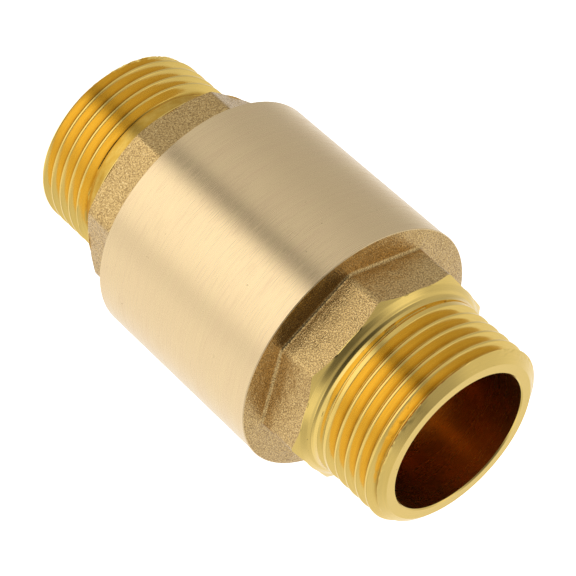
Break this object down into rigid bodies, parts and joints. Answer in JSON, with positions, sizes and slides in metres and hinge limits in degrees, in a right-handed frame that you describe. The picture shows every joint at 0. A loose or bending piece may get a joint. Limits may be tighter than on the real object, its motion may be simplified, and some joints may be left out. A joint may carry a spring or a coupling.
{
  "type": "check valve",
  "caption": "In-line spring-loaded check valve: round cast brass body, screwed inlet cap, wrench octagons, male pipe threads on both ends and a sliding poppet inside.",
  "frame": {"origin": "centre of the inlet end face, on the valve's axis; the valve stands on that face", "axes": "+Z along the valve's axis in the direction of flow, from the screwed inlet cap to the outlet; +X square to one flat of the outlet octagon"},
  "size_m": [0.0452, 0.0452, 0.085],
  "materials": {
    "cast_brass": "cast, with turned shell, collars and threads",
    "turned_brass": "turned",
    "stainless": "bright drawn",
    "nitrile": "moulded, matt",
    "acetal": "turned, satin"
  },
  "bodies": {
    "casing": {"body": "cast_brass", "inlet_cap": "cast_brass", "cap_o_ring": "nitrile", "stem_guide": "turned_brass", "guide_bush": "acetal", "spring": "stainless"},
    "poppet": {"stem": "stainless", "valve_disc": "turned_brass", "disc_seal": "nitrile", "seal_retainer": "turned_brass", "lock_washer": "stainless", "stem_nut": "stainless"}
  },
  "joints": [
    {"name": "poppet_lift", "type": "slide", "parent": "casing", "child": "poppet", "axis": [0, 0, 1], "range_m": [0, 0.007], "stiffness_N_per_m": 400, "springref_m": -0.0025, "deforming": ["spring"]}
  ]
}
